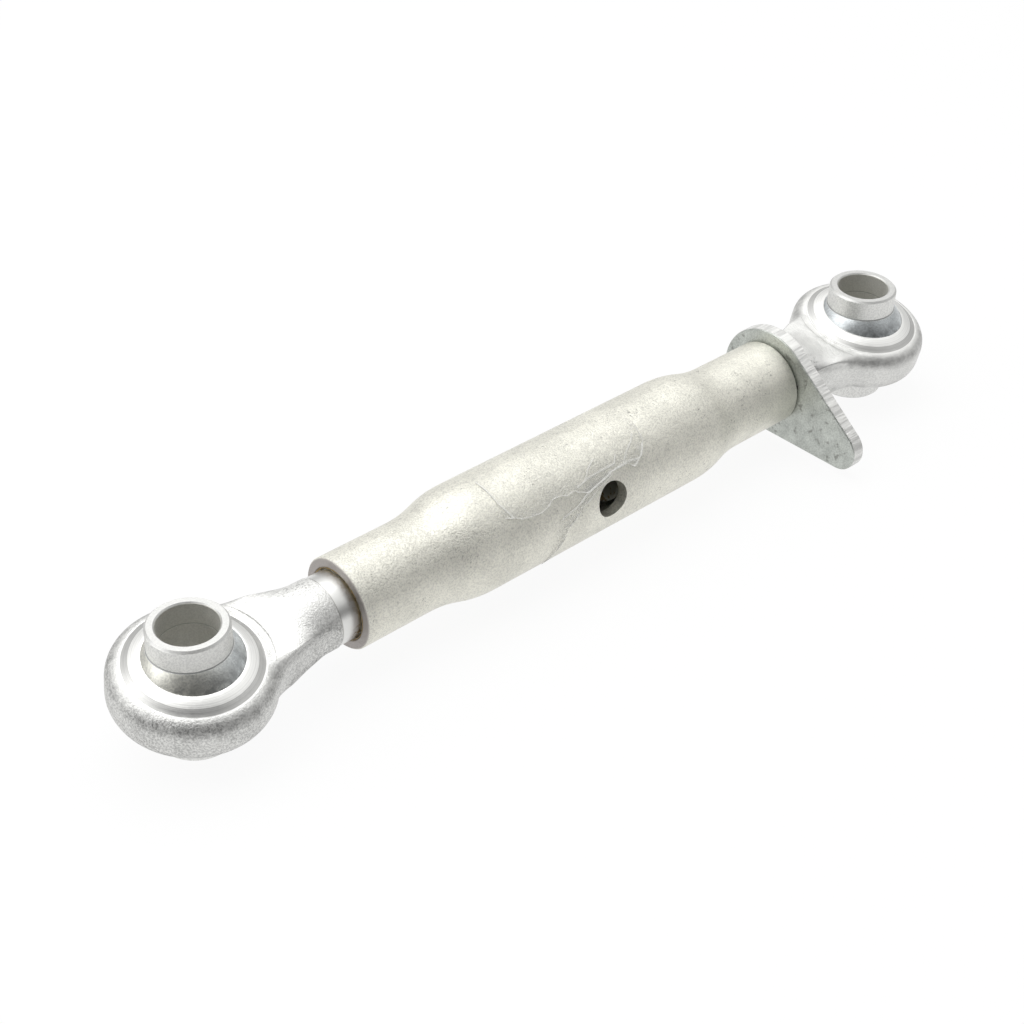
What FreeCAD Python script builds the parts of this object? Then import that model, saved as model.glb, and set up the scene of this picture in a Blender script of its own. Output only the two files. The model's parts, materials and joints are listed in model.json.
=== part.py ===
import FreeCAD, Part
import os
import Sketcher
from FreeCAD import Placement, Rotation, Vector

# Tractor top link, ISO 730 category 1, wound right in.
#
# A turnbuckle: a swaged steel barrel with a left-hand and a right-hand M24 x 3 thread draws two
# forged eye ends together. Each eye end carries a swivel ball with a 19 mm pin bore. A teardrop
# lock plate on the right-hand shank jams against the barrel.
#
# Row frame: millimetres, origin at the centre of the left ball's bore, +X along the barrel to the
# right ball, +Z up along the ball bores. The link lies on a floor, so its eyes lean towards -Y
# on balls that stand upright.

SIZES = {
    # swivel ball
    "pin_bore_d": 19.3,
    "ball_width": 44.0,
    "sphere_d": 38.1,
    "collar_d": 25.7,
    "collar_edge": 0.7,
    "bore_edge": 0.5,
    "socket_clearance": 0.06,
    # forged eye
    "eye_d": 52.2,
    "eye_thick": 17.0,
    "eye_edge_radius": 6.0,
    "spotface_d": 49.2,
    "spotface_thick": 16.4,
    "boss_d": 38.6,
    "boss_foot_d": 43.0,
    "boss_thick": 19.4,
    "lip_mouth_d": 31.2,
    "lip_land": 0.7,
    # forged neck
    "neck_length": 47.5,
    "neck_sink": 0.4,
    "neck_proud": 0.2,
    "neck_side_flat": 1.5,
    "neck_edge_radius": 0.6,
    "waist_depth": 1.1,
    "root_step": 0.3,
    "root_length": 4.5,
    "crown_start_radius": 150.0,
    # threaded shank
    "shank_d": 24.0,
    "shank_length": 96.0,
    "shank_point": 2.0,
    "shank_gap": 7.0,
    "thread_clearance": 0.06,
    # barrel
    "barrel_length": 204.0,
    "barrel_end_d": 32.2,
    "barrel_mid_d": 39.6,
    "barrel_end_length": 28.5,
    "barrel_taper": 25.0,
    "barrel_wall": 4.2,
    "tapped_length": 33.0,
    "mouth_chamfer": 0.9,
    "rim_chamfer": 0.6,
    "bar_hole_d": 13.2,
    "bar_hole_offset": 1.3,
    # lock plate
    "plate_thick": 5.5,
    "plate_d": 42.0,
    "plate_tip_d": 16.7,
    "plate_reach": 38.5,
    "plate_edge": 0.5,
    "plate_gap": 0.25,
    # how the link lies
    "eye_roll": 9.5,
    "bar_hole_rise": 9.5,
    "plate_drop": 17.5,
}

# The neck ends in a round root a step larger than the shank, with a flat cut into each side.
ROOT = "( shank_d / 2 + root_step )"
WAIST = "( shank_d / 2 + root_step - waist_depth )"

# The neck is drawn through evenly spaced sections. Its edges are sharp from one share of its
# length on, and its crown grows from another to the end.
NECK_STATIONS = 12
SHARP_FROM = 0.55
CROWN_FROM = 0.40


def make_sheet(doc, sizes):
    """Write every driving size into a spreadsheet, one aliased cell each."""
    sheet = doc.addObject("Spreadsheet::Sheet", "Sizes")
    for row, (alias, value) in enumerate(sizes.items(), start=1):
        sheet.set(f"A{row}", alias)
        sheet.set(f"B{row}", str(value))
        sheet.setAlias(f"B{row}", alias)
    doc.recompute()
    return sheet


def size(expression):
    """Turn bare size names into references to the spreadsheet."""
    words = []
    for word in expression.split():
        words.append(f"Sizes.{word}" if word in SIZES else word)
    return " ".join(words)


def new_body(doc, label):
    body = doc.addObject("PartDesign::Body", label)
    body.Label = label
    return body


def origin_feature(body, role):
    """One of the body's own origin planes or axes, such as XY_Plane or X_Axis."""
    return next(f for f in body.Origin.OriginFeatures if f.Role == role)


def new_sketch(body, name, plane, offset=None):
    """A sketch on one of the body's origin planes, lifted off it by an expression."""
    sketch = body.newObject("Sketcher::SketchObject", name)
    sketch.AttachmentSupport = [(origin_feature(body, plane), "")]
    sketch.MapMode = "FlatFace"
    if offset is not None:
        sketch.setExpression("AttachmentOffset.Base.z", size(offset))
    return sketch


def pin_point(sketch, geometry, end, corner):
    """Hold one end of a curve at a corner whose two coordinates are expressions."""
    for kind, axis, expression in (("DistanceX", -2, corner[0]), ("DistanceY", -1, corner[1])):
        if expression == "0":
            sketch.addConstraint(Sketcher.Constraint("PointOnObject", geometry, end, axis))
            continue
        value = float(sketch.evalExpression(size(expression)))
        index = sketch.addConstraint(Sketcher.Constraint(kind, geometry, end, value))
        sketch.setExpression(f"Constraints[{index}]", size(expression))


def outline(sketch, corners, arcs=None):
    """Draw a closed outline through corners given as pairs of expressions.

    arcs maps the number of a side to (radius expression, turn): the side is then an arc that
    runs anticlockwise for a turn of 1 and clockwise for -1.
    """
    arcs = arcs or {}
    places = [Vector(*(float(sketch.evalExpression(size(e))) for e in c), 0) for c in corners]
    sides = []
    for i, start in enumerate(places):
        stop = places[(i + 1) % len(places)]
        if i not in arcs:
            index = sketch.addGeometry(Part.LineSegment(start, stop), False)
            sides.append((index, 1, 2))
            continue
        radius_expression, turn = arcs[i]
        radius = float(sketch.evalExpression(size(radius_expression)))
        sides.append(add_arc(sketch, start, stop, radius, turn))
        index = sketch.addConstraint(Sketcher.Constraint("Radius", sides[-1][0], radius))
        sketch.setExpression(f"Constraints[{index}]", size(radius_expression))
    for i, (geometry, first, last) in enumerate(sides):
        following = sides[(i + 1) % len(sides)]
        sketch.addConstraint(
            Sketcher.Constraint("Coincident", geometry, last, following[0], following[1]))
    for i, (geometry, first, last) in enumerate(sides):
        pin_point(sketch, geometry, first, corners[i])


def add_arc(sketch, start, stop, radius, turn):
    """Add the shorter arc from start to stop and say which of its ends is which."""
    chord = stop - start
    half = chord.Length / 2
    rise = (radius ** 2 - half ** 2) ** 0.5
    side = Vector(-chord.y, chord.x, 0).normalize() * (rise * turn)
    centre = (start + stop) * 0.5 + side
    ends = (start, stop) if turn > 0 else (stop, start)
    angles = [Vector(1, 0, 0).getAngle(e - centre) for e in ends]
    angles = [a if (e - centre).y >= 0 else -a for a, e in zip(angles, ends)]
    circle = Part.Circle(centre, Vector(0, 0, 1), radius)
    index = sketch.addGeometry(Part.ArcOfCircle(circle, angles[0], angles[1]), False)
    return (index, 1, 2) if turn > 0 else (index, 2, 1)


def mirrored(corners):
    """The same corners on the other side of the sketch's horizontal axis."""
    return [(x, f"- ( {y} )") for x, y in corners]


def revolve(body, sketch, axis, cut=False):
    """A full turn about one of the body's axes, added to the body or cut from it."""
    kind = "PartDesign::Groove" if cut else "PartDesign::Revolution"
    feature = body.newObject(kind, f"{sketch.Name}_turn")
    feature.Profile = sketch
    feature.ReferenceAxis = (origin_feature(body, axis), [""])
    feature.Angle = 360
    sketch.Document.recompute()
    return feature


def cut_through(body, sketch):
    """A pocket through the whole body, both ways from the sketch."""
    feature = body.newObject("PartDesign::Pocket", f"{sketch.Name}_cut")
    feature.Profile = sketch
    feature.Type = "ThroughAll"
    feature.Midplane = True
    sketch.Document.recompute()
    return feature


def edges_where(feature, test):
    """Names of the edges of a feature's shape that pass a test."""
    edges = enumerate(feature.Shape.Edges, start=1)
    return [f"Edge{n}" for n, edge in edges if test(edge)]


def swivel_ball(doc, label):
    """A sphere with a collar each side and a through bore, turned about Z."""
    body = new_body(doc, label)
    sketch = new_sketch(body, f"{label}_profile", "XZ_Plane")
    upper = [
        ("pin_bore_d / 2", "ball_width / 2 - bore_edge"),
        ("pin_bore_d / 2 + bore_edge", "ball_width / 2"),
        ("collar_d / 2 - collar_edge", "ball_width / 2"),
        ("collar_d / 2", "ball_width / 2 - collar_edge"),
        ("collar_d / 2", "sqrt( ( sphere_d / 2 ) ^ 2 - ( collar_d / 2 ) ^ 2 )"),
    ]
    outline(sketch, upper + mirrored(upper)[::-1], {4: ("sphere_d / 2", -1)})
    revolve(body, sketch, "Z_Axis")
    return body


def ease(share, start, stop):
    """A smooth rise from 0 at start to 1 at stop."""
    along = min(max((share - start) / (stop - start), 0), 1)
    return along ** 2 * (3 - 2 * along)


def neck_section(body, label, share):
    """One section of the neck, at a share of the way from the eye's rim to the round root.

    Each side follows an arc that touches a circle just inside the rim and runs in parallel to the
    shank at the waist. Towards the root the top and bottom rise and tighten from the eye's flat
    face to a circle. The edges start nearly as round as the rim's and end nearly sharp.
    """
    crown = ease(share, CROWN_FROM, 1)
    flat = 1 - crown
    sharp = ease(share, 0, SHARP_FROM)
    waist_x = "( neck_length - root_length )"
    rim = "( eye_d / 2 - neck_sink )"
    flank = f"( ( {waist_x} ^ 2 + {WAIST} ^ 2 - {rim} ^ 2 ) / ( 2 * ( {rim} - {WAIST} ) ) )"
    start = f"( {waist_x} * {rim} / ( {rim} + {flank} ) )"
    x = f"( {start} + {share} * ( {waist_x} - {start} ) )"
    reach = f"( {WAIST} + {flank} - sqrt( {flank} ^ 2 - ( {waist_x} - {x} ) ^ 2 ) )"
    top = f"( {flat} * ( eye_thick / 2 + neck_proud ) + {crown} * {ROOT} )"
    bend = f"( 1 / ( {flat} / crown_start_radius + {crown} / {ROOT} ) )"
    edge = f"( {1 - sharp} * ( eye_thick / 2 - neck_side_flat ) + {sharp} * neck_edge_radius )"
    inset = f"( {reach} - {edge} )"
    drop = f"sqrt( ( {bend} - {edge} ) ^ 2 - {inset} ^ 2 )"
    shoulder = (reach, f"{top} - {bend} + {drop}")
    brow = (f"{inset} * {bend} / ( {bend} - {edge} )",
            f"{top} - {bend} + {drop} * {bend} / ( {bend} - {edge} )")
    right = [shoulder, brow]
    left = [(f"- ( {y} )", z) for y, z in right[::-1]]
    upper = right + left
    sketch = new_sketch(body, f"{label}_neck_{round(share * 100)}", "YZ_Plane", x)
    arcs = {0: (edge, 1), 1: (bend, 1), 2: (edge, 1), 4: (edge, 1), 5: (bend, 1), 6: (edge, 1)}
    outline(sketch, upper + mirrored(upper)[::-1], arcs)
    return sketch


def eye_end(doc, label):
    """A forged eye whose flat neck blends into a round, machined shank along +X."""
    body = new_body(doc, label)

    sections = [neck_section(body, label, i / (NECK_STATIONS - 1)) for i in range(NECK_STATIONS)]
    neck = body.newObject("PartDesign::AdditiveLoft", f"{label}_neck")
    neck.Profile = sections[0]
    neck.Sections = sections[1:]
    neck.Ruled = False
    doc.recompute()

    shank = new_sketch(body, f"{label}_shank", "XZ_Plane")
    outline(shank, [
        ("neck_length - root_length", "0"),
        ("neck_length - root_length", ROOT),
        ("neck_length - root_step", ROOT),
        ("neck_length", "shank_d / 2"),
        ("neck_length + shank_length - shank_point", "shank_d / 2"),
        ("neck_length + shank_length", "shank_d / 2 - shank_point"),
        ("neck_length + shank_length", "0"),
    ])
    revolve(body, shank, "X_Axis")

    run_out = new_sketch(body, f"{label}_run_out", "XY_Plane")
    scoop = [
        ("neck_length - root_length", WAIST),
        ("neck_length", f"{WAIST} + root_length"),
        ("neck_length", "shank_d"),
        ("neck_length - root_length", "shank_d"),
    ]
    outline(run_out, scoop, {0: ("root_length", 1)})
    outline(run_out, mirrored(scoop), {0: ("root_length", -1)})
    cut_through(body, run_out)

    disc = new_sketch(body, f"{label}_disc", "XZ_Plane")
    rim = [
        ("0", "eye_thick / 2"),
        ("eye_d / 2 - eye_edge_radius", "eye_thick / 2"),
        ("eye_d / 2", "eye_thick / 2 - eye_edge_radius"),
    ]
    outline(disc, rim + mirrored(rim)[::-1],
            {1: ("eye_edge_radius", -1), 3: ("eye_edge_radius", -1)})
    revolve(body, disc, "Z_Axis")

    spotface = new_sketch(body, f"{label}_spotface", "XZ_Plane")
    face = [
        ("0", "spotface_thick / 2"),
        ("spotface_d / 2", "spotface_thick / 2"),
        ("spotface_d / 2", "ball_width / 2"),
        ("0", "ball_width / 2"),
    ]
    outline(spotface, face)
    outline(spotface, mirrored(face))
    revolve(body, spotface, "Z_Axis", cut=True)

    boss = new_sketch(body, f"{label}_boss", "XZ_Plane")
    lip = "sqrt( ( sphere_d / 2 + socket_clearance ) ^ 2 - ( lip_mouth_d / 2 ) ^ 2 )"
    step = [
        ("pin_bore_d / 2", lip),
        ("lip_mouth_d / 2 + lip_land", lip),
        ("boss_d / 2", "boss_thick / 2"),
        ("boss_foot_d / 2", "spotface_thick / 2"),
    ]
    outline(boss, step + mirrored(step)[::-1])
    revolve(body, boss, "Z_Axis")

    socket = new_sketch(body, f"{label}_socket", "XZ_Plane")
    radius = "sphere_d / 2 + socket_clearance"
    outline(socket, [("0", f"- ( {radius} )"), (radius, "0"), ("0", radius)],
            {0: (radius, 1), 1: (radius, 1)})
    revolve(body, socket, "Z_Axis", cut=True)
    return body


def barrel_tube(doc, label):
    """A tube swaged down to two tapped ends, with a hole across it for a turning bar."""
    body = new_body(doc, label)
    sketch = new_sketch(body, f"{label}_profile", "XZ_Plane")
    end = "barrel_length / 2"
    bore = "( shank_d / 2 + thread_clearance )"
    cavity = "( barrel_mid_d / 2 - barrel_wall )"
    rise = "( ( barrel_mid_d - barrel_end_d ) / 4 )"
    bend = f"( ( barrel_taper / 2 ) ^ 2 + {rise} ^ 2 ) / ( 2 * {rise} )"
    half = [
        (f"- {end}", f"{bore} + mouth_chamfer"),
        (f"- {end}", "barrel_end_d / 2 - rim_chamfer"),
        (f"- {end} + rim_chamfer", "barrel_end_d / 2"),
        (f"- {end} + barrel_end_length", "barrel_end_d / 2"),
        (f"- {end} + barrel_end_length + barrel_taper / 2", f"barrel_end_d / 2 + {rise}"),
        (f"- {end} + barrel_end_length + barrel_taper", "barrel_mid_d / 2"),
    ]
    inner = [
        (f"- {end} + barrel_end_length + barrel_taper", cavity),
        (f"- {end} + tapped_length", bore),
        (f"- {end} + mouth_chamfer", bore),
    ]
    far_half = [(f"- ( {x} )", y) for x, y in half]
    far_inner = [(f"- ( {x} )", y) for x, y in inner]
    corners = half + far_half[::-1] + far_inner[::-1] + inner
    arcs = {3: (bend, 1), 4: (bend, -1), 6: (bend, -1), 7: (bend, 1)}
    outline(sketch, corners, arcs)
    revolve(body, sketch, "X_Axis")

    hole = new_sketch(body, f"{label}_bar_hole", "XZ_Plane")
    circle = Part.Circle(Vector(SIZES["bar_hole_offset"], 0, 0), Vector(0, 0, 1),
                         SIZES["bar_hole_d"] / 2)
    index = hole.addGeometry(circle, False)
    radius = hole.addConstraint(Sketcher.Constraint("Radius", index, SIZES["bar_hole_d"] / 2))
    hole.setExpression(f"Constraints[{radius}]", size("bar_hole_d / 2"))
    pin_point(hole, index, 3, ("bar_hole_offset", "0"))
    cut_through(body, hole)
    return body


def lock_plate(doc, label):
    """A teardrop plate with a tapped hole: a round head and a straight-sided tail along +Y."""
    body = new_body(doc, label)
    sketch = new_sketch(body, f"{label}_outline", "YZ_Plane")
    lean = "( ( plate_d - plate_tip_d ) / 2 / plate_reach )"
    upright = f"sqrt( 1 - {lean} ^ 2 )"
    head = (f"{lean} * plate_d / 2", f"{upright} * plate_d / 2")
    tip = (f"plate_reach + {lean} * plate_tip_d / 2", f"{upright} * plate_tip_d / 2")
    corners = [
        ("- plate_d / 2", "0"),
        mirrored([head])[0],
        mirrored([tip])[0],
        ("plate_reach + plate_tip_d / 2", "0"),
        tip,
        head,
    ]
    arcs = {0: ("plate_d / 2", 1), 2: ("plate_tip_d / 2", 1), 3: ("plate_tip_d / 2", 1),
            5: ("plate_d / 2", 1)}
    outline(sketch, corners, arcs)
    index = sketch.addGeometry(Part.Circle(Vector(0, 0, 0), Vector(0, 0, 1), SIZES["shank_d"] / 2))
    sketch.addConstraint(Sketcher.Constraint("Coincident", index, 3, -1, 1))
    radius = sketch.addConstraint(Sketcher.Constraint("Radius", index, SIZES["shank_d"] / 2))
    sketch.setExpression(f"Constraints[{radius}]", size("shank_d / 2 + thread_clearance"))
    pad = body.newObject("PartDesign::Pad", f"{label}_pad")
    pad.Profile = sketch
    pad.setExpression("Length", size("plate_thick"))
    doc.recompute()
    edge = body.newObject("PartDesign::Chamfer", f"{label}_edge")
    hole_reach = SIZES["shank_d"] / 2 + 2 * SIZES["thread_clearance"]

    def on_rim(e):
        across = abs(e.Vertexes[0].Point.x - e.Vertexes[-1].Point.x)
        box = e.BoundBox
        reach = max(abs(box.YMin), abs(box.YMax), abs(box.ZMin), abs(box.ZMax))
        return across < SIZES["plate_edge"] and reach > hole_reach

    edge.Base = (pad, edges_where(pad, on_rim))
    edge.setExpression("Size", size("plate_edge"))
    doc.recompute()
    return body


def place(part, x="0", roll=0.0, turned=False):
    """Put a sub-part on the link's axis at x, rolled about X, and turned end for end if asked."""
    turn = Rotation(Vector(0, 0, 1), 180 if turned else 0)
    part.Placement = Placement(Vector(0, 0, 0), Rotation(Vector(1, 0, 0), roll) * turn)
    part.setExpression("Placement.Base.x", size(x))


def check(parts):
    """Stop if any object failed to build or any sub-part is not one valid solid."""
    for item in parts[0].Document.Objects:
        bad = {"Invalid", "Error"} & set(item.State)
        if bad:
            raise RuntimeError(f"{item.Name} is {bad}")
    for part in parts:
        if part.Shape.isNull() or not part.Shape.isValid() or len(part.Shape.Solids) != 1:
            raise RuntimeError(f"{part.Label} is not one valid solid")


def main():
    doc = FreeCAD.newDocument("TopLink")
    make_sheet(doc, SIZES)

    barrel_start = "neck_length + shank_gap"
    plate_start = f"{barrel_start} + barrel_length + plate_gap"
    closed_length = f"{plate_start} + plate_thick + plate_gap + neck_length"

    left_eye = eye_end(doc, "left_eye_end")
    place(left_eye, roll=SIZES["eye_roll"])
    right_eye = eye_end(doc, "right_eye_end")
    place(right_eye, closed_length, SIZES["eye_roll"], turned=True)
    left_ball = swivel_ball(doc, "left_ball")
    place(left_ball)
    right_ball = swivel_ball(doc, "right_ball")
    place(right_ball, closed_length)
    barrel = barrel_tube(doc, "barrel")
    place(barrel, f"{barrel_start} + barrel_length / 2", -SIZES["bar_hole_rise"])
    plate = lock_plate(doc, "lock_plate")
    place(plate, plate_start, 180 + SIZES["plate_drop"])

    doc.recompute()
    parts = [left_eye, right_eye, left_ball, right_ball, barrel, plate]
    check(parts)
    os.makedirs("parts", exist_ok=True)
    for part in parts:
        part.Shape.exportStep(f"parts/{part.Label}.step")


main()
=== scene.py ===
"""Looks of a category 1 tractor top link: threads, finishes, film label, grease and studio."""

import json
import math

import bmesh
import bpy
from bpy.props import FloatProperty, FloatVectorProperty, IntProperty, PointerProperty
from mathutils import Matrix, Vector


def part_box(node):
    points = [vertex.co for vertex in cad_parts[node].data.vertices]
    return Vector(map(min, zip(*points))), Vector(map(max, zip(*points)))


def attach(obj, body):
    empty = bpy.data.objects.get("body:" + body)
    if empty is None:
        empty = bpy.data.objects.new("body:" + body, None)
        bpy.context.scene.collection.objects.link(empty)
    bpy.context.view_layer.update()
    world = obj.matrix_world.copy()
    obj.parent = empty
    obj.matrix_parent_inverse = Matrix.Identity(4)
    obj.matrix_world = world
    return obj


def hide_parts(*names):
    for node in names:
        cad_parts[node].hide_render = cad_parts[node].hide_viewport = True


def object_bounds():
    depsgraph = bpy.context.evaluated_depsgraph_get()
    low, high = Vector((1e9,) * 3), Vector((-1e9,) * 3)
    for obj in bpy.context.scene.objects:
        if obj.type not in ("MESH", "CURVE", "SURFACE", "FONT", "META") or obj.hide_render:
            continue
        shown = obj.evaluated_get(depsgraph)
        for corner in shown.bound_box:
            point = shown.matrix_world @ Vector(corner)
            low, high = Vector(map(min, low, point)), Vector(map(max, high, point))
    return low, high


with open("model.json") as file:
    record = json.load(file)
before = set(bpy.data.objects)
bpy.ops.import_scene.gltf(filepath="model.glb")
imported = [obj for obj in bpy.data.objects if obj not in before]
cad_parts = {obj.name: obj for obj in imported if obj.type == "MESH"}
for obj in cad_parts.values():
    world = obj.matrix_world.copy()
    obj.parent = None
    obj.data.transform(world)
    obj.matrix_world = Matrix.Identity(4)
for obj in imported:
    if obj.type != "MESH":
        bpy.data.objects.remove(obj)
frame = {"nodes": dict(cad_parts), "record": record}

bl_info = {
    "name": "Tractor Top Link",
    "version": (1, 0, 0),
    "blender": (4, 5, 0),
    "location": "View3D > Sidebar > Top Link",
    "description": "Dresses a turnbuckle top link: rolled threads, zinc finishes, film label, studio",
    "category": "Object",
}


# ---------------------------------------------------------------- sizes from the frame

MM = 0.001
SIDES = ("left", "right")
BORES = {mount["name"]: Vector(mount["pos_m"]) for mount in frame["record"]["mounts"]}
LINK_LENGTH = BORES["right_ball_bore"].x
LINK_MIDDLE = LINK_LENGTH / 2
BARREL_LOW, BARREL_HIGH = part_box("barrel")
BARREL_RADIUS = (BARREL_HIGH.z - BARREL_LOW.z) / 2
PLATE_LOW, PLATE_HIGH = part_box("lock_plate")
SHANK_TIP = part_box("left_eye_end")[1].x
FLOOR_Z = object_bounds()[0][2]
STAGE_CENTRE = Vector((150 * MM, 0, 0))

# ---------------------------------------------------------------- landmarks of the finishes

# Each pair is the start and the end of a soft change, or the two sides of a band.
# On an eye, reach is measured from its axis and height from its middle plane.
EYE_ROLL = math.radians(9.5)
BOSS_EDGE = (21.6 * MM, 21.9 * MM)
BOSS_FOOT = (7.9 * MM, 8.1 * MM)
BOSS_WALL = (19.4 * MM, 21.3 * MM)
SCRIBED_RING = (24.5 * MM, 24.7 * MM)
EYE_FACE = (7.8 * MM, 8.0 * MM)
SHADED_SIDE = (5.5 * MM, 8.3 * MM)
RIM_SHADE_START = (2.4 * MM, 6.0 * MM)
RIM_SHADE_STOP = (7.2 * MM, 8.2 * MM)
NECK_ROOT = (37 * MM, 47.3 * MM)
GRAIN_FADE = (180 * MM, 300 * MM)

# On a shank, along is measured from the nearer ball and out from the link's axis.
TURNED_FROM = 47.5 * MM
SHOULDER_LINE = (TURNED_FROM + 0.1 * MM, TURNED_FROM + 0.4 * MM)
DARK_ROOT_REACH = (10.3 * MM, 11.6 * MM)
GREASED_FROM = (50.2 * MM, 53.6 * MM)
GREASED_BELOW = (-5 * MM, 3 * MM)

# On the barrel, the mouth is its near end face.
MOUTH_FACE = (0.05 * MM, 0.5 * MM)
MOUTH_CHAMFER = (12.4 * MM, 13.4 * MM)

# On a ball, reach is measured from its bore's axis and height from its middle.
COLLAR_EDGE = (12.95 * MM, 13.3 * MM)
SPHERE_TOP = (13.7 * MM, 14.0 * MM)
COLLAR_GROOVE = (13.9 * MM, 14.15 * MM)
SPHERE_STAIN = (7 * MM, 12.5 * MM)
BORE_EDGE = (9.7 * MM, 9.9 * MM)
COLLAR_FACE = (21.2 * MM, 21.6 * MM)
BALL_TINT = (-14 * MM, 12 * MM)

PLATE_EDGE_INSET = 0.4 * MM

# ---------------------------------------------------------------- outline of the film label

# Points are (millimetres along the link, degrees above the horizon on the barrel's near side).
WRAP_TORN_EDGE = [
    (112.5, 44), (115.5, 41), (119, 36), (123, 34), (127, 33), (130, 35), (133, 39.5), (136, 39),
    (139, 36), (142, 37), (144, 33), (148, 29), (154, 33), (161, 37), (167, 37), (170, 31),
    (174, 37), (178, 50), (179, 70)]
WRAP_BACK_EDGE = [(112.5, 150), (146, 156), (179, 148)]
TAIL_TORN_EDGE = [(129.5, -42), (133, -18), (137.6, 5.7), (146.2, 20.3), (153.7, 29.2), (160, 34)]
TAIL_TOP_EDGE = [
    (129.5, -16), (130.5, 6.4), (132.5, 16), (136.4, 22.4), (141.6, 30.6), (147, 34), (153, 37),
    (160, 39)]
LONG_CREASE = [(132, 17), (142, 22), (147, 29), (154, 33), (162, 38), (168, 39), (173, 36)]
WRAP_CREASES = [
    LONG_CREASE,
    [(144, 39), (149, 42), (156, 43), (162, 43), (164, 50)],
    [(148, 41), (151, 50), (155, 56)],
    [(166, 40), (169, 48), (173, 55), (175, 61)],
    [(167, 30), (170, 31), (174, 38), (177, 48)],
    [(112.9, 92), (113.2, 60), (115.6, 41)],
]
TORN_MILK = 0.8
TORN_RISE = 0.5

# ---------------------------------------------------------------- making the threads and meshes

CREST_SHARE = 1 / 8
FLANK_SHARE = 5 / 16
SPARE_TURNS = 2
THREAD_WELD = 0.005 * MM
COPY_WELD = 0.001 * MM

# Waves of the grease bead: how many go round the mouth, height as a share, and phase in radians.
BEAD_WAVES = ((7, 1.0, 0), (17, 0.7, 1), (31, 0.5, 2))

# ---------------------------------------------------------------- lamps

# Each soft lamp's name, place, width and depth in metres, and power in watts.
LAMPS = (
    ("overhead", (0.10, 0.30, 1.10), (1.4, 1.0), 6.0),
    ("window", (-0.9, 0.5, 0.7), (0.8, 0.8), 3.0),
)
SENSOR_WIDTH = 36.0


# ---------------------------------------------------------------- settings

class ThreadSettings(bpy.types.PropertyGroup):
    pitch: FloatProperty(
        name="Pitch", description="Advance of the thread in one turn",
        default=3 * MM, subtype="DISTANCE", unit="LENGTH")
    crest_radius: FloatProperty(
        name="Crest radius", description="Outer radius of the thread",
        default=11.97 * MM, subtype="DISTANCE", unit="LENGTH")
    depth: FloatProperty(
        name="Depth", description="Height of the thread from root to crest",
        default=1.84 * MM, subtype="DISTANCE", unit="LENGTH")
    left_start: FloatProperty(
        name="Near thread start", description="From the near ball's centre to the first turn",
        default=56 * MM, subtype="DISTANCE", unit="LENGTH")
    right_start: FloatProperty(
        name="Far thread start", description="From the far ball's centre to the first turn",
        default=49 * MM, subtype="DISTANCE", unit="LENGTH")
    steps: IntProperty(
        name="Steps per turn", description="Facets in one turn of the thread", default=40)


class FilmSettings(bpy.types.PropertyGroup):
    thickness: FloatProperty(
        name="Thickness", description="Thickness of the clear film",
        default=0.07 * MM, subtype="DISTANCE", unit="LENGTH")
    lift: FloatProperty(
        name="Lift", description="Gap between the film and the barrel",
        default=0.12 * MM, subtype="DISTANCE", unit="LENGTH")
    crease_height: FloatProperty(
        name="Crease height", description="How far the creases stand up",
        default=0.22 * MM, subtype="DISTANCE", unit="LENGTH")
    crease_width: FloatProperty(
        name="Crease width", description="Half width of a crease",
        default=0.30 * MM, subtype="DISTANCE", unit="LENGTH")
    torn_width: FloatProperty(
        name="Torn width", description="How far the film is crumpled from its torn edge",
        default=3.5 * MM, subtype="DISTANCE", unit="LENGTH")
    mesh_step: FloatProperty(
        name="Mesh step", description="Size of the film's faces",
        default=0.30 * MM, subtype="DISTANCE", unit="LENGTH")


class GreaseSettings(bpy.types.PropertyGroup):
    bead_radius: FloatProperty(
        name="Bead radius", description="Half thickness of the bead of grease",
        default=0.24 * MM, subtype="DISTANCE", unit="LENGTH")
    ring_radius: FloatProperty(
        name="Ring radius", description="From the link's axis to the middle of the bead",
        default=12.50 * MM, subtype="DISTANCE", unit="LENGTH")
    inset: FloatProperty(
        name="Inset", description="From the barrel's end to the middle of the bead",
        default=0.35 * MM, subtype="DISTANCE", unit="LENGTH")
    waviness: FloatProperty(
        name="Waviness", description="How far the bead wanders along the link",
        default=0.11 * MM, subtype="DISTANCE", unit="LENGTH")
    sides: IntProperty(
        name="Sides", description="Facets round the bead's own section", default=10)
    steps: IntProperty(
        name="Steps", description="Facets in one turn round the mouth", default=120)


class FinishSettings(bpy.types.PropertyGroup):
    barrel_zinc: FloatVectorProperty(
        name="Barrel zinc", description="Plated tube",
        default=(0.77, 0.76, 0.69), subtype="COLOR", min=0, max=1)
    forging_zinc: FloatVectorProperty(
        name="Forging zinc", description="Plated forging",
        default=(0.80, 0.80, 0.78), subtype="COLOR", min=0, max=1)
    ball_zinc: FloatVectorProperty(
        name="Ball zinc", description="Plated ball, slightly blue",
        default=(0.60, 0.63, 0.64), subtype="COLOR", min=0, max=1)
    plate_zinc: FloatVectorProperty(
        name="Plate zinc", description="Plated sheet",
        default=(0.66, 0.69, 0.65), subtype="COLOR", min=0, max=1)
    tarnish: FloatVectorProperty(
        name="Tarnish", description="Dull stain on the barrel's end face",
        default=(0.30, 0.27, 0.27), subtype="COLOR", min=0, max=1)
    grease: FloatVectorProperty(
        name="Grease", description="Old grease at the barrel's mouth",
        default=(0.22, 0.15, 0.05), subtype="COLOR", min=0, max=1)
    film: FloatVectorProperty(
        name="Film", description="Clear film with a milky crease",
        default=(0.90, 0.90, 0.86), subtype="COLOR", min=0, max=1)


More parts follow.
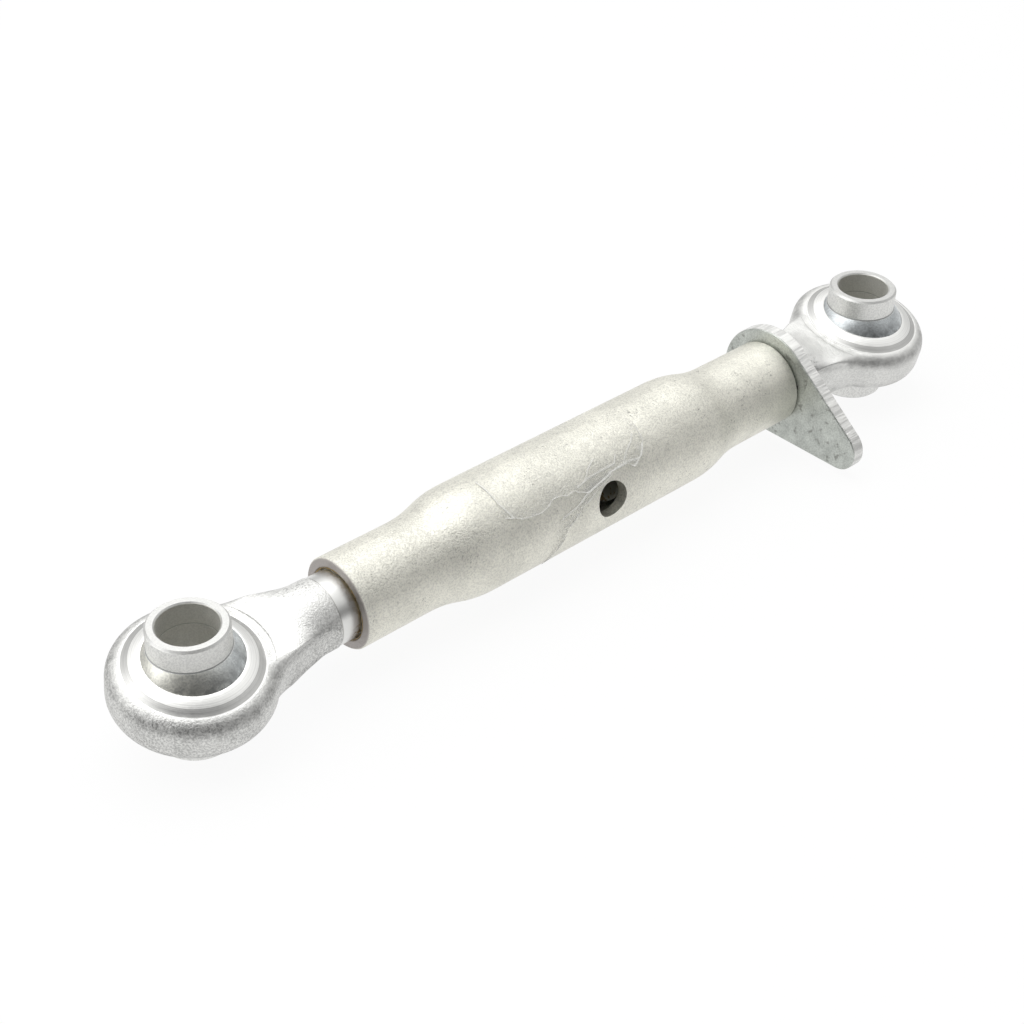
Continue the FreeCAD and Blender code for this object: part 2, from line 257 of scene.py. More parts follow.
class StudioSettings(bpy.types.PropertyGroup):
    camera_place: FloatVectorProperty(
        name="Camera place", description="Where the camera stands",
        default=(-0.2052, -0.3520, 0.3677), subtype="TRANSLATION", unit="LENGTH")
    camera_target: FloatVectorProperty(
        name="Camera target", description="The point in the middle of the view",
        default=(0.1295, 0.0005, 0.0), subtype="TRANSLATION", unit="LENGTH")
    camera_roll: FloatProperty(
        name="Camera roll", description="Turn of the camera about its view line",
        default=math.radians(2.3), subtype="ANGLE", unit="ROTATION")
    lens: FloatProperty(
        name="Lens", description="Focal length in millimetres on a 36 mm sensor", default=63.08)
    floor_reach: FloatProperty(
        name="Floor reach", description="Half the side of the floor",
        default=3.0, subtype="DISTANCE", unit="LENGTH")
    floor_colour: FloatVectorProperty(
        name="Floor", description="Colour of the floor",
        default=(0.92, 0.92, 0.92), subtype="COLOR", min=0, max=1)
    floor_white: FloatProperty(
        name="Floor white", description="How much of the seen floor is plain white, not lit",
        default=0.92, subtype="FACTOR")
    sky_low: FloatProperty(
        name="Sky at the horizon", description="Strength of the sky at the horizon", default=0.50)
    sky_rise: FloatProperty(
        name="Sky rise", description="How much stronger the sky is overhead", default=0.65)
    room_shade: FloatProperty(
        name="Room shade", description="How much the room dims the sky in front",
        default=0.78, subtype="FACTOR")
    front_shade: FloatProperty(
        name="Front shade", description="How much the sky is dimmed low down in front",
        default=0.55, subtype="FACTOR")
    room_side: FloatVectorProperty(
        name="Room side", description="Direction in which the dim room lies",
        default=(-0.45, -0.75, 0.48), subtype="XYZ")


# ---------------------------------------------------------------- shader maths

class Wire:
    """A node's output socket that sums can be written with."""

    def __init__(self, graph, socket):
        self.graph = graph
        self.socket = socket

    def __add__(self, other):
        return self.graph.math("ADD", self, other)

    __radd__ = __add__

    def __sub__(self, other):
        return self.graph.math("SUBTRACT", self, other)

    def __rsub__(self, other):
        return self.graph.math("SUBTRACT", other, self)

    def __mul__(self, other):
        return self.graph.math("MULTIPLY", self, other)

    __rmul__ = __mul__

    def __pow__(self, other):
        return self.graph.math("POWER", self, other)

    def __abs__(self):
        return self.graph.math("ABSOLUTE", self)


class Graph:
    """The node tree of a material or world, with one method that makes any node."""

    def __init__(self, tree):
        self.tree = tree
        self.tree.nodes.clear()

    def node(self, kind, settings=None, values=None, output=0):
        """Make a node: its settings first, then the values or links of its sockets."""
        node = self.tree.nodes.new(kind)
        for name, value in (settings or {}).items():
            setattr(node, name, value)
        for key, value in (values or {}).items():
            if isinstance(value, Wire):
                self.tree.links.new(value.socket, node.inputs[key])
            else:
                node.inputs[key].default_value = value
        return Wire(self, node.outputs[output]) if len(node.outputs) else node

    def outputs(self, wire):
        """All the outputs of the node that a wire comes from, by name."""
        return {output.name: Wire(self, output) for output in wire.socket.node.outputs}

    def math(self, operation, *values):
        return self.node("ShaderNodeMath", {"operation": operation}, dict(enumerate(values)))

    def vector(self, operation, *values, output=0):
        settings = {"operation": operation}
        return self.node("ShaderNodeVectorMath", settings, dict(enumerate(values)), output)

    def place(self):
        """Object coordinates, in metres."""
        return self.node("ShaderNodeTexCoord", output="Object")

    def split(self, vector):
        """The X, Y and Z of a vector."""
        return self.outputs(self.node("ShaderNodeSeparateXYZ", values={0: vector})).values()

    def ray_kind(self, *kinds):
        """1 for the rays of these kinds."""
        paths = self.outputs(self.node("ShaderNodeLightPath"))
        return sum(paths[f"Is {kind} Ray"] for kind in kinds)

    def painted(self, name):
        """A value stored on the mesh under this name."""
        return self.node("ShaderNodeAttribute", {"attribute_name": name}, output="Fac")

    def step(self, value, low, high):
        """A smooth rise from 0 at low to 1 at high."""
        settings = {"interpolation_type": "SMOOTHSTEP"}
        return self.node("ShaderNodeMapRange", settings, {0: value, 1: low, 2: high})

    def band(self, value, low, high, soft):
        """1 between low and high, with soft edges."""
        return self.step(value, low - soft, low) * (1 - self.step(value, high, high + soft))

    def noise(self, place, size, detail=2.0, rough=0.5):
        """Cloudy noise whose lumps are about size metres across."""
        values = {"Vector": place, "Scale": 1 / size, "Detail": detail, "Roughness": rough}
        return self.node("ShaderNodeTexNoise", values=values)

    def grain(self, place, size, low, high, detail=2.0, rough=0.5):
        """Noise sharpened into spots: 1 on a spot and 0 between them."""
        return self.step(self.noise(place, size, detail, rough), low, high)

    def tool_marks(self, distance, pitch):
        """Uneven fine lines, about one to each pitch of distance."""
        values = {"W": distance, "Scale": 1 / pitch, "Detail": 1.0}
        return self.node("ShaderNodeTexNoise", {"noise_dimensions": "1D"}, values)

    def mix(self, factor, first, second):
        """Blend two colours."""
        return self.node("ShaderNodeMix", {"data_type": "RGBA"}, {0: factor, 6: first, 7: second}, 2)

    def tones(self, shade, colour, dark, light):
        """A colour that goes from its dark share to its light share as shade rises."""
        return self.mix(shade, opaque(colour, dark), opaque(colour, light))

    def bump(self, height, distance, strength=1.0, under=None):
        """A relief of this height, on top of another one if given."""
        values = {"Height": height, "Distance": distance, "Strength": strength}
        if under is not None:
            values["Normal"] = under
        return self.node("ShaderNodeBump", values=values)

    def surface(self, values):
        """Close the material with one principled shader."""
        shader = self.node("ShaderNodeBsdfPrincipled", values=values)
        self.node("ShaderNodeOutputMaterial", values={"Surface": shader})

    def metal(self, colour, roughness, normal):
        self.surface({"Base Color": colour, "Metallic": 1.0, "Roughness": roughness, "Normal": normal})


def new_material(name):
    material = bpy.data.materials.new(name)
    material.use_nodes = True
    return material, Graph(material.node_tree)


def opaque(colour, share=1.0):
    """A share of a colour, with full alpha."""
    return (*[channel * share for channel in colour], 1.0)


def dress(piece, *materials):
    """Give a piece these materials, in the order of its faces' material numbers."""
    slots = piece.data.materials
    for number, material in enumerate(materials):
        if number < len(slots):
            slots[number] = material
        else:
            slots.append(material)


# ---------------------------------------------------------------- finishes

def from_nearer_ball(x):
    """Distance along the link from the nearer ball's centre."""
    return LINK_MIDDLE - abs(x - LINK_MIDDLE)


def length(first, second):
    """Length of a flat vector from its two parts."""
    return (first ** 2 + second ** 2) ** 0.5


def eye_frame(graph):
    """Distance from the nearer ball along the link, height along its eye and reach from its axis."""
    x, y, z = graph.split(graph.place())
    along = from_nearer_ball(x)
    height = z * math.cos(EYE_ROLL) - y * math.sin(EYE_ROLL)
    across = y * math.cos(EYE_ROLL) + z * math.sin(EYE_ROLL)
    return along, height, length(along, across)


def blasted_skin(graph, size, low, high):
    """Blasted grain, coarse at the near end of the link and fainter at the far end."""
    place = graph.place()
    x, y, z = graph.split(place)
    strength = 1 - graph.step(x, *GRAIN_FADE) * 0.6
    grain = graph.grain(place, size, low, high, detail=3.0, rough=0.65)
    return 1 - (1 - grain) * strength


def forged_zinc(settings):
    """Shot-blasted forging with a turned boss round the ball, all zinc plated."""
    material, graph = new_material("forged_zinc")
    place = graph.place()
    along, height, reach = eye_frame(graph)
    level = abs(height)
    zinc = settings.forging_zinc

    boss = (1 - graph.step(reach, *BOSS_EDGE)) * graph.step(level, *BOSS_FOOT)
    wall = graph.band(reach, *BOSS_WALL, soft=0.15 * MM) * boss
    scribe = graph.band(reach, *SCRIBED_RING, soft=0.1 * MM) * graph.step(height, *EYE_FACE)
    # Painted shade: the rim's sides and the neck's flanks get a darker colour than the lit tops, with
    # stronger grain.
    side = 1 - graph.step(level, *SHADED_SIDE)
    # Painted shade: the rim's rounding gets a darker, mottled colour, a painted dark reflection of the
    # dim room.
    painted_rim_shade = graph.step(level, *RIM_SHADE_START) * (1 - graph.step(level, *RIM_SHADE_STOP))

    sand = blasted_skin(graph, 0.65 * MM, 0.36, 0.62)
    pits = graph.noise(place, 1.7 * MM)
    rim_shade_mottle = graph.grain(place, 2.6 * MM, 0.36, 0.60, detail=4.0, rough=0.7)
    cloud = graph.grain(place, 9 * MM, 0.35, 0.65)
    dirt = graph.grain(place, 0.8 * MM, 0.50, 0.64, detail=3.0, rough=0.7)
    dirt = dirt * cloud * graph.band(along, *NECK_ROOT, soft=3 * MM)
    rings = graph.tool_marks(reach, 0.35 * MM)

    # The side mask paints the sides darker than the lit tops, as painted shade; sand and cloud are
    # grain.
    cast = sand * (side * 0.30 + 0.12) + cloud * 0.10 + 0.78 - side * 0.36
    # Painted shade: darker mottled band on the rim's rounding.
    cast = cast - painted_rim_shade * (rim_shade_mottle * 0.20 + 0.06)
    turned = rings * 0.40 + 0.74 - wall * 0.34
    shade = cast * (1 - boss) + turned * boss - scribe * 0.25
    colour = graph.tones(shade, zinc, dark=0.12, light=1.1)
    colour = graph.mix(dirt * 0.55, colour, opaque(zinc, 0.25))
    roughness = 0.42 - boss * 0.08 + sand * 0.10
    relief = graph.bump(sand * (1 - boss), 0.08 * MM, 0.8)
    relief = graph.bump(pits * (1 - boss), 0.16 * MM, 0.7, relief)
    relief = graph.bump(rings * boss, 0.02 * MM, 0.8, relief)
    graph.metal(colour, roughness, relief)
    return material


def turned_zinc(settings):
    """Turned shank and rolled thread, darker in the thread's roots, with old grease near the mouth."""
    material, graph = new_material("turned_zinc")
    place = graph.place()
    x, y, z = graph.split(place)
    along = from_nearer_ball(x)

    # Darker in the thread's roots, below the crest.
    root = 1 - graph.step(length(y, z), *DARK_ROOT_REACH)
    shoulder = 1 - graph.step(along, *SHOULDER_LINE)
    blot = graph.grain(place, 1.9 * MM, 0.50, 0.60, detail=3.0)
    low = 1 - graph.step(z, *GREASED_BELOW)
    stain = graph.step(along, *GREASED_FROM) * blot * (low * 0.7 + 0.3)
    lathe = graph.tool_marks(x, 0.25 * MM)

    dull = opaque(settings.barrel_zinc, 0.35)
    colour = graph.mix(root * 0.6, opaque(settings.forging_zinc, 0.95), dull)
    colour = graph.mix(shoulder * 0.7, colour, dull)
    colour = graph.mix(stain * 0.85, colour, opaque(settings.grease, 1.3))
    roughness = 0.28 + lathe * 0.10
    graph.metal(colour, roughness, graph.bump(lathe, 0.01 * MM, 0.7))
    return material


def barrel_zinc(settings):
    """Swaged tube: sandy grain, dark specks and patches, dull stained mouth."""
    material, graph = new_material("barrel_zinc")
    place = graph.place()
    x, y, z = graph.split(place)
    zinc = settings.barrel_zinc

    face = 1 - graph.step(x - BARREL_LOW.x, *MOUTH_FACE)
    mouth = face * (1 - graph.step(length(y, z), *MOUTH_CHAMFER))
    sand = blasted_skin(graph, 0.62 * MM, 0.34, 0.60)
    coarse = graph.noise(place, 1.8 * MM)
    dents = graph.noise(place, 5 * MM)
    cloud = graph.grain(place, 15 * MM, 0.38, 0.62, detail=3.0)
    patch = graph.grain(place, 7 * MM, 0.52, 0.66)
    speck = graph.grain(place, 1.0 * MM, 0.56, 0.66, detail=4.0, rough=0.75) * patch

    shade = sand * 0.24 + coarse * 0.18 + 0.52 + cloud * 0.08
    colour = graph.tones(shade, zinc, dark=0.12, light=1.25)
    colour = graph.mix(speck * 0.65, colour, opaque(zinc, 0.15))
    colour = graph.mix(face * 0.75, colour, opaque(settings.tarnish))
    colour = graph.mix(mouth * 0.85, colour, opaque(settings.grease, 0.6))
    roughness = 0.42 + sand * 0.12
    relief = graph.bump(sand, 0.09 * MM, 0.8)
    relief = graph.bump(dents, 0.30 * MM, 0.5, relief)
    graph.metal(colour, roughness, relief)
    return material


def ball_zinc(settings):
    """Turned ball: matt collars, a mottled sphere and a fine groove where they meet."""
    material, graph = new_material("ball_zinc")
    place = graph.place()
    x, y, z = graph.split(place)
    reach = length(from_nearer_ball(x), y)
    level = abs(z)
    zinc = settings.ball_zinc

    sphere = graph.step(reach, *COLLAR_EDGE) * (1 - graph.step(level, *SPHERE_TOP))
    groove = graph.band(level, *COLLAR_GROOVE, soft=0.12 * MM)
    # Painted shade: the bore is painted darker and warmer than the rest of the ball.
    bore = 1 - graph.step(reach, *BORE_EDGE)
    face = graph.step(level, *COLLAR_FACE)
    low = 1 - graph.step(level, *SPHERE_STAIN)
    sand = graph.grain(place, 0.6 * MM, 0.36, 0.62)
    mottle = graph.grain(place, 2.4 * MM, 0.44, 0.58, detail=4.0, rough=0.7)
    stain = mottle * sphere * (low * 0.75 + 0.25)

    colour = graph.tones(sand, settings.forging_zinc, dark=0.86, light=1.05)
    colour = graph.mix(face * 0.6, colour, opaque(settings.forging_zinc, 0.74))
    tint = graph.mix(
        graph.step(x, *BALL_TINT), opaque(settings.barrel_zinc, 1.05), opaque(zinc, 1.15))
    colour = graph.mix(sphere, colour, tint)
    colour = graph.mix(stain * 0.7, colour, opaque(zinc, 0.30))
    colour = graph.mix(sphere * (1 - sand) * 0.35, colour, opaque(zinc, 0.40))
    colour = graph.mix(groove * 0.7, colour, opaque(zinc, 0.35))
    # Painted shade inside the bore.
    colour = graph.mix(bore * 0.5, colour, opaque(settings.barrel_zinc, 0.75))
    roughness = 0.46 - sphere * 0.12 + sand * 0.06 + bore * 0.2
    relief = graph.bump(1 - groove, 0.12 * MM, 0.8)
    relief = graph.bump(sand, 0.02 * MM, 0.7, relief)
    graph.metal(colour, roughness, relief)
    return material


def plate_zinc(settings):
    """Sheared plate: dull faces with dark specks and a rough bright edge."""
    material, graph = new_material("plate_zinc")
    place = graph.place()
    x, y, z = graph.split(place)

    edge = graph.band(
        x, PLATE_LOW.x + PLATE_EDGE_INSET, PLATE_HIGH.x - PLATE_EDGE_INSET, soft=0.1 * MM)
    through = graph.vector("MULTIPLY", place, (0.10, 1.0, 1.0))
    tear = graph.grain(through, 2.4 * MM, 0.30, 0.70, detail=3.0, rough=0.65)
    cloud = graph.noise(place, 5 * MM, 4.0, 0.6)
    speck = graph.grain(place, 3.2 * MM, 0.58, 0.70, detail=3.0, rough=0.6)
    sand = graph.grain(place, 0.6 * MM, 0.36, 0.62)

    shade = cloud * 0.8 + sand * 0.25 - 0.02
    face = graph.tones(shade, settings.plate_zinc, dark=0.40, light=1.10)
    face = graph.mix(speck * 0.6, face, opaque(settings.barrel_zinc, 0.20))
    rim = graph.tones(tear, settings.forging_zinc, dark=0.82, light=1.15)
    colour = graph.mix(edge, face, rim)
    roughness = 0.40 + edge * 0.12 + sand * 0.08
    relief = graph.bump(tear * edge, 0.22 * MM, 0.8)
    relief = graph.bump(cloud + sand * 0.3, 0.05 * MM, 0.6, relief)
    graph.metal(colour, roughness, relief)
    return material


def film_clear(settings):
    """Clear film, milky along its creases and crumpled by its torn edge."""
    material, graph = new_material("film_clear")
    place = graph.place()
    crease = graph.painted("crease")
    torn = graph.painted("torn")
    soft = graph.noise(place, 3 * MM)
    wrinkle = 1 - graph.step(abs(graph.noise(place, 2.2 * MM, rough=0.6) - 0.5), 0.0, 0.05)
    alpha = crease * 0.60 + wrinkle * torn * 0.30 + torn * 0.12 + soft * 0.06
    graph.surface({
        "Base Color": opaque(settings.film), "Roughness": 0.18, "Alpha": alpha,
        "Normal": graph.bump(soft, 0.1 * MM, 0.5), "IOR": 1.48})
    return material


def old_grease(settings):
    """Amber grease, darker where it is thick."""
    material, graph = new_material("old_grease")
    lump = graph.noise(graph.place(), 1.2 * MM, 3.0)
    graph.surface({
        "Base Color": graph.tones(lump, settings.grease, dark=0.5, light=1.9),
        "Roughness": 0.25, "Normal": graph.bump(lump, 0.1 * MM)})
    return material


# ---------------------------------------------------------------- shapes

def finish_mesh(bm, name, smooth_angle):
    """Turn a bmesh into a shown object at the origin, smooth except over sharp corners."""
    mesh = bpy.data.meshes.new(name)
    bm.to_mesh(mesh)
    bm.free()
    mesh.shade_smooth()
    mesh.set_sharp_from_angle(angle=math.radians(smooth_angle))
    piece = bpy.data.objects.new(name, mesh)
    bpy.context.scene.collection.objects.link(piece)
    even = piece.modifiers.new("even_shading", "WEIGHTED_NORMAL")
    even.keep_sharp = True
    return piece


def merged_copy(node):
    """A bmesh of a CAD node's mesh, with its loose triangles sewn together."""
    bm = bmesh.new()
    bm.from_mesh(frame["nodes"][node].data)
    bmesh.ops.remove_doubles(bm, verts=bm.verts[:], dist=COPY_WELD)
    return bm


def cut_at(bm, x, keep_low):
    """Cut everything beyond x off a closed mesh, close it again and return the new faces."""
    geom = bm.verts[:] + bm.edges[:] + bm.faces[:]
    cut = bmesh.ops.bisect_plane(
        bm, geom=geom, plane_co=(x, 0, 0), plane_no=(1, 0, 0),
        clear_outer=keep_low, clear_inner=not keep_low)
    rim = [e for e in cut["geom_cut"] if isinstance(e, bmesh.types.BMEdge)]
    return bmesh.ops.holes_fill(bm, edges=rim, sides=0)["faces"]


def add_thread(bm, start, stop, hand, thread):
    """A closed threaded rod along X from start to stop; hand is 1 for right-hand, -1 for left."""
    rod = bmesh.new()
    root = thread.crest_radius - thread.depth
    flank = thread.pitch * FLANK_SHARE
    crest = thread.pitch * CREST_SHARE
    root_end = (thread.pitch - crest) / 2 - flank
    crest_start = root_end + flank
    crest_end = crest_start + crest
    corners = [
        (0, root), (root_end, root), (crest_start, thread.crest_radius),
        (crest_end, thread.crest_radius), (crest_end + flank, root), (thread.pitch, root)]
    first = start - SPARE_TURNS * thread.pitch
    verts = [rod.verts.new((first + x, 0, r)) for x, r in corners]
    edges = [rod.edges.new(pair) for pair in zip(verts, verts[1:])]
    turns = math.ceil((stop - start) / thread.pitch) + 2 * SPARE_TURNS
    bmesh.ops.spin(
        rod, geom=verts + edges, cent=(0, 0, 0), axis=(1, 0, 0),
        dvec=(thread.pitch / thread.steps, 0, 0), angle=hand * math.tau * turns,
        steps=turns * thread.steps, use_merge=False)
    bmesh.ops.remove_doubles(rod, verts=rod.verts[:], dist=THREAD_WELD)
    cut_at(rod, start, keep_low=False)
    cut_at(rod, stop, keep_low=True)
    bmesh.ops.recalc_face_normals(rod, faces=rod.faces[:])
    for face in rod.faces:
        face.material_index = 1
    scratch = bpy.data.meshes.new("scratch_thread")
    rod.to_mesh(scratch)
    rod.free()
    bm.from_mesh(scratch)
    bpy.data.meshes.remove(scratch)


def threaded_end(side, thread):
    """A CAD eye end whose plain shank is exchanged for a threaded one."""
    bm = merged_copy(f"{side}_eye_end")
    left = side == "left"
    toward_tip = 1 if left else -1
    start = thread.left_start if left else LINK_LENGTH - thread.right_start
    tip = SHANK_TIP if left else LINK_LENGTH - SHANK_TIP
    run_out = thread.depth * toward_tip

    caps = cut_at(bm, start, keep_low=left)
    shoulder = bmesh.ops.extrude_discrete_faces(bm, faces=caps)["faces"]
    rim = list({v for face in shoulder for v in face.verts})
    bmesh.ops.translate(bm, vec=(run_out, 0, 0), verts=rim)
    narrow = (thread.crest_radius - thread.depth) / thread.crest_radius
    bmesh.ops.scale(bm, vec=(1, narrow, narrow), verts=rim)

    for face in bm.faces:
        x = face.calc_center_median().x
        along = x if left else LINK_LENGTH - x
        face.material_index = 1 if along > TURNED_FROM else 0
    low, high = sorted((start + run_out / 2, tip))
    add_thread(bm, low, high, toward_tip, thread)
    return finish_mesh(bm, f"{side}_eye_threaded", smooth_angle=35)


def smooth_line(points, x):
    """Read a value off a smooth line through (x, value) points."""
    if x <= points[0][0]:
        return points[0][1]
    for (x0, v0), (x1, v1) in zip(points, points[1:]):
        if x <= x1:
            share = (x - x0) / (x1 - x0)
            share = share * share * (3 - 2 * share)
            return v0 + (v1 - v0) * share
    return points[-1][1]


def distance_to_path(point, path):
    """Shortest distance from a flat point to a path of straight runs."""
    best = math.inf
    for a, b in zip(path, path[1:]):
        run = b - a
        share = max(0.0, min(1.0, (point - a).dot(run) / run.length_squared))
        best = min(best, (point - a - run * share).length)
    return best


def fade(distance, width):
    """1 on a line, falling to nothing a few widths away from it."""
    return math.exp(-(distance / width) ** 2)


def film_sheet(name, low_edge, high_edge, creases, film):
    """A film wrapped on the barrel between two edges.

    Edges and creases are (millimetres along the link, degrees above the horizon on the near
    side); the film lies against the tube and stands up along its creases and its low edge.
    """
    radius = BARREL_RADIUS + film.lift
    degree = math.radians(1) * radius
    paths = [[Vector((x * MM, a * degree)) for x, a in line] for line in (low_edge, *creases)]
    torn_path, *crease_paths = paths
    start, stop = low_edge[0][0] * MM, low_edge[-1][0] * MM
    widest = max(h for x, h in high_edge) - min(a for x, a in low_edge)
    columns = math.ceil((stop - start) / film.mesh_step)
    rows = math.ceil(widest * degree / film.mesh_step)
    bm = bmesh.new()
    bmesh.ops.create_grid(bm, x_segments=columns, y_segments=rows, size=0.5)
    crease_layer = bm.verts.layers.float.new("crease")
    torn_layer = bm.verts.layers.float.new("torn")
    for vert in bm.verts:
        x = start + (vert.co.x + 0.5) * (stop - start)
        low = smooth_line(low_edge, x / MM)
        high = smooth_line(high_edge, x / MM)
        angle = low + (vert.co.y + 0.5) * (high - low)
        flat = Vector((x, angle * degree))
        ridge = sum(fade(distance_to_path(flat, path), film.crease_width) for path in crease_paths)
        to_edge = distance_to_path(flat, torn_path)
        rim = fade(to_edge, film.crease_width)
        vert[crease_layer] = min(1.0, ridge + TORN_MILK * rim)
        vert[torn_layer] = fade(to_edge, film.torn_width)
        out = radius + film.crease_height * min(1.0, ridge + TORN_RISE * rim)
        turn = math.radians(angle)
        vert.co = (x, -out * math.cos(turn), out * math.sin(turn))
    bmesh.ops.recalc_face_normals(bm, faces=bm.faces[:])
    bmesh.ops.solidify(bm, geom=bm.faces[:], thickness=film.thickness)
    bmesh.ops.recalc_face_normals(bm, faces=bm.faces[:])
    return finish_mesh(bm, name, smooth_angle=60)


def grease_bead(grease):
    """An uneven ring of grease just inside the barrel's near end."""
    bm = bmesh.new()
    ring = bmesh.ops.create_circle(bm, segments=grease.sides, radius=grease.bead_radius)["verts"]
    bmesh.ops.rotate(bm, verts=ring, matrix=Matrix.Rotation(math.pi / 2, 3, "X"))
    middle = (BARREL_LOW.x + grease.inset, 0, grease.ring_radius)
    bmesh.ops.translate(bm, vec=middle, verts=ring)
    bmesh.ops.spin(
        bm, geom=bm.verts[:] + bm.edges[:], cent=(0, 0, 0), axis=(1, 0, 0),
        angle=math.tau, steps=grease.steps, use_merge=True)
    for vert in bm.verts:
        turn = math.atan2(vert.co.y, vert.co.z)
        wave = sum(height * math.sin(count * turn + phase) for count, height, phase in BEAD_WAVES)
        vert.co.x -= grease.waviness * wave
    bmesh.ops.recalc_face_normals(bm, faces=bm.faces[:])
    return finish_mesh(bm, "mouth_grease", smooth_angle=60)


# ---------------------------------------------------------------- operators

class TOPLINK_OT_plated_parts(bpy.types.Operator):
    """Plate the barrel, the swivel balls and the lock plate"""
    bl_idname = "toplink.plated_parts"
    bl_label = "Plated Parts"

    def execute(self, context):
        finish = context.scene.link_finish
        nodes = frame["nodes"]
        dress(nodes["barrel"], barrel_zinc(finish))
        dress(nodes["lock_plate"], plate_zinc(finish))
        balls = ball_zinc(finish)
        for side in SIDES:
            dress(nodes[f"{side}_ball"], balls)
        return {"FINISHED"}


class TOPLINK_OT_threaded_ends(bpy.types.Operator):
    """Roll a thread on both shanks and plate the forged ends"""
    bl_idname = "toplink.threaded_ends"
    bl_label = "Threaded Eye Ends"

    def execute(self, context):
        scene = context.scene
        forged = forged_zinc(scene.link_finish)
        turned = turned_zinc(scene.link_finish)
        for side in SIDES:
            piece = threaded_end(side, scene.link_thread)
            dress(piece, forged, turned)
            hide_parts(f"{side}_eye_end")
            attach(piece, f"{side}_end")
        return {"FINISHED"}


class TOPLINK_OT_film_label(bpy.types.Operator):
    """Wrap the torn clear film round the middle of the barrel"""
    bl_idname = "toplink.film_label"
    bl_label = "Film Label"

    def execute(self, context):
        film = context.scene.link_film
        clear = film_clear(context.scene.link_finish)
        wrap = film_sheet("film_wrap", WRAP_TORN_EDGE, WRAP_BACK_EDGE, WRAP_CREASES, film)
        tail = film_sheet("film_tail", TAIL_TORN_EDGE, TAIL_TOP_EDGE, [LONG_CREASE], film)
        for piece in (wrap, tail):
            dress(piece, clear)
            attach(piece, "tube")
        return {"FINISHED"}


class TOPLINK_OT_mouth_grease(bpy.types.Operator):
    """Leave a bead of old grease in the barrel's mouth"""
    bl_idname = "toplink.mouth_grease"
    bl_label = "Mouth Grease"

    def execute(self, context):
        scene = context.scene
        bead = grease_bead(scene.link_grease)
        dress(bead, old_grease(scene.link_finish))
        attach(bead, "tube")
        return {"FINISHED"}


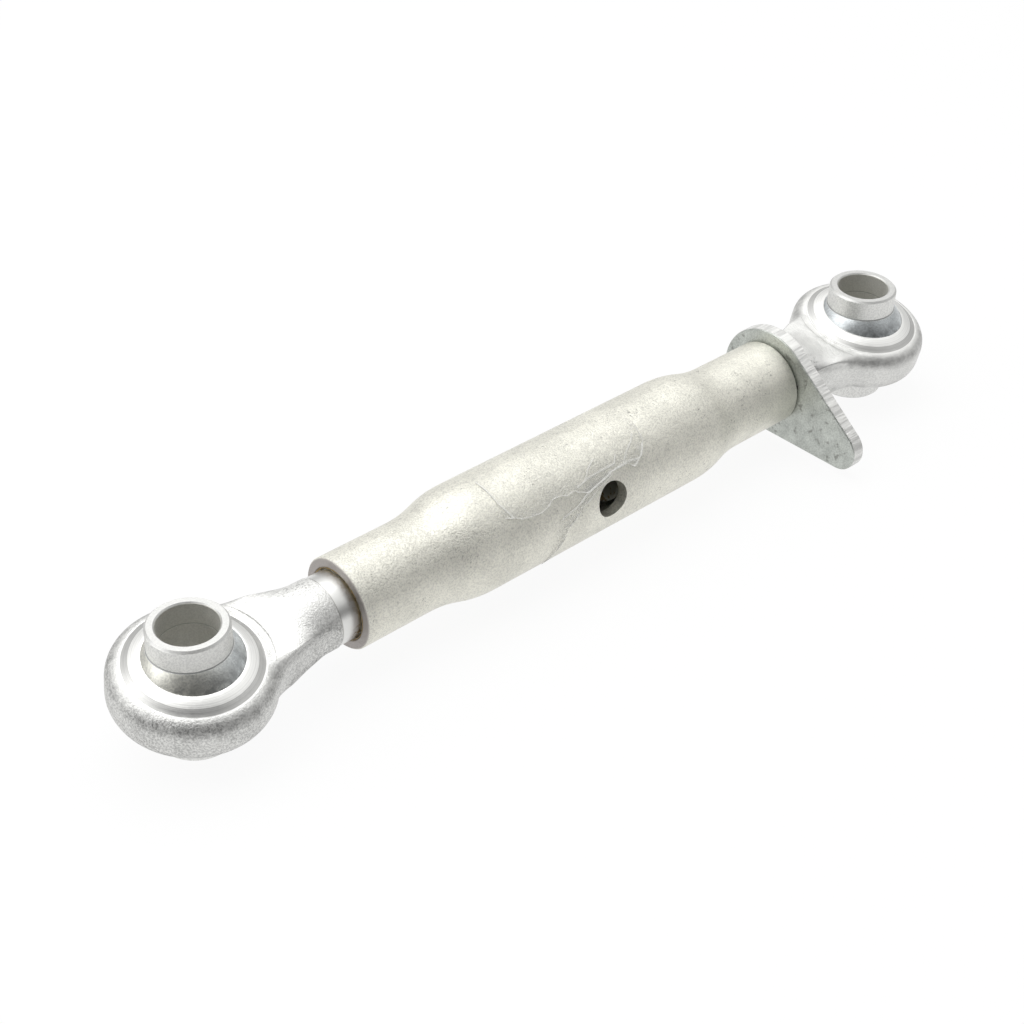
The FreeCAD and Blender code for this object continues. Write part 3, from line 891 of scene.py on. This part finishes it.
class TOPLINK_OT_studio(bpy.types.Operator):
    """Set up the pale floor, soft lamps, world and camera"""
    bl_idname = "toplink.studio"
    bl_label = "Studio"

    def execute(self, context):
        scene = context.scene
        studio = scene.link_studio
        self.lay_floor(studio)
        self.hang_lamps(scene)
        self.light_world(scene, studio)
        self.place_camera(scene, studio)
        scene.view_settings.view_transform = "Standard"
        return {"FINISHED"}

    def lay_floor(self, studio):
        bm = bmesh.new()
        bmesh.ops.create_grid(bm, x_segments=1, y_segments=1, size=studio.floor_reach)
        bmesh.ops.translate(bm, vec=(STAGE_CENTRE.x, STAGE_CENTRE.y, FLOOR_Z), verts=bm.verts[:])
        floor = finish_mesh(bm, "floor", smooth_angle=30)
        material, graph = new_material("pale_floor")
        seen = graph.ray_kind("Camera", "Glossy", "Transmission") * studio.floor_white
        lit = graph.node("ShaderNodeBsdfDiffuse", values={"Color": opaque(studio.floor_colour)})
        white = graph.node("ShaderNodeEmission", values={"Strength": 1.0})
        mixed = graph.node("ShaderNodeMixShader", values={0: seen, 1: lit, 2: white})
        graph.node("ShaderNodeOutputMaterial", values={"Surface": mixed})
        dress(floor, material)

    def hang_lamps(self, scene):
        for name, place, spread, power in LAMPS:
            lamp = bpy.data.lights.new(name, "AREA")
            lamp.shape = "RECTANGLE"
            lamp.size, lamp.size_y = spread
            lamp.energy = power
            holder = bpy.data.objects.new(name, lamp)
            holder.location = place
            aim = STAGE_CENTRE - holder.location
            holder.rotation_euler = aim.to_track_quat("-Z", "Y").to_euler()
            scene.collection.objects.link(holder)

    def light_world(self, scene, studio):
        """A pale sky, dimmer toward the room in front, and plain white to the camera."""
        world = bpy.data.worlds.new("studio_world")
        world.use_nodes = True
        scene.world = world
        graph = Graph(world.node_tree)
        place = graph.node("ShaderNodeTexCoord", output="Generated")
        x, y, z = graph.split(place)
        side = Vector(studio.room_side).normalized()
        room = graph.step(graph.vector("DOT_PRODUCT", place, side, output="Value"), 0.35, 0.95)
        front = graph.step(0 - y, 0.25, 0.75) * (1 - graph.step(z, 0.30, 0.62))
        sky = graph.step(z, 0.0, 0.8) * studio.sky_rise + studio.sky_low
        sky = sky * (1 - room * studio.room_shade) * (1 - front * studio.front_shade)
        camera_ray = graph.ray_kind("Camera")
        strength = sky * (1 - camera_ray) + camera_ray
        values = {"Color": (1, 1, 1, 1), "Strength": strength}
        shader = graph.node("ShaderNodeBackground", values=values)
        graph.node("ShaderNodeOutputWorld", values={"Surface": shader})

    def place_camera(self, scene, studio):
        camera = bpy.data.cameras.new("camera")
        camera.lens = studio.lens
        camera.sensor_width = SENSOR_WIDTH
        camera.clip_start = 10 * MM
        holder = bpy.data.objects.new("camera", camera)
        holder.location = studio.camera_place
        aim = Vector(studio.camera_target) - Vector(studio.camera_place)
        turn = aim.to_track_quat("-Z", "Y").to_matrix()
        roll = Matrix.Rotation(studio.camera_roll, 3, "Z")
        holder.rotation_euler = (turn @ roll).to_euler()
        scene.collection.objects.link(holder)
        scene.camera = holder


class TOPLINK_PT_panel(bpy.types.Panel):
    """Lists the steps that dress the link"""
    bl_idname = "TOPLINK_PT_panel"
    bl_label = "Top Link"
    bl_space_type = "VIEW_3D"
    bl_region_type = "UI"
    bl_category = "Top Link"

    def draw(self, context):
        for step in STEPS:
            self.layout.operator(step.bl_idname)


STEPS = (
    TOPLINK_OT_plated_parts,
    TOPLINK_OT_threaded_ends,
    TOPLINK_OT_film_label,
    TOPLINK_OT_mouth_grease,
    TOPLINK_OT_studio,
)
SETTINGS = {
    "link_thread": ThreadSettings,
    "link_film": FilmSettings,
    "link_grease": GreaseSettings,
    "link_finish": FinishSettings,
    "link_studio": StudioSettings,
}


def register():
    for group in SETTINGS.values():
        bpy.utils.register_class(group)
    for step in STEPS:
        bpy.utils.register_class(step)
    bpy.utils.register_class(TOPLINK_PT_panel)
    for name, group in SETTINGS.items():
        setattr(bpy.types.Scene, name, PointerProperty(type=group))


def unregister():
    for name in SETTINGS:
        delattr(bpy.types.Scene, name)
    bpy.utils.unregister_class(TOPLINK_PT_panel)
    for step in reversed(STEPS):
        bpy.utils.unregister_class(step)
    for group in reversed(SETTINGS.values()):
        bpy.utils.unregister_class(group)


def main():
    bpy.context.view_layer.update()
    register()
    bpy.ops.toplink.plated_parts()
    bpy.ops.toplink.threaded_ends()
    bpy.ops.toplink.film_label()
    bpy.ops.toplink.mouth_grease()
    bpy.ops.toplink.studio()


if __name__ == "__main__":
    main()
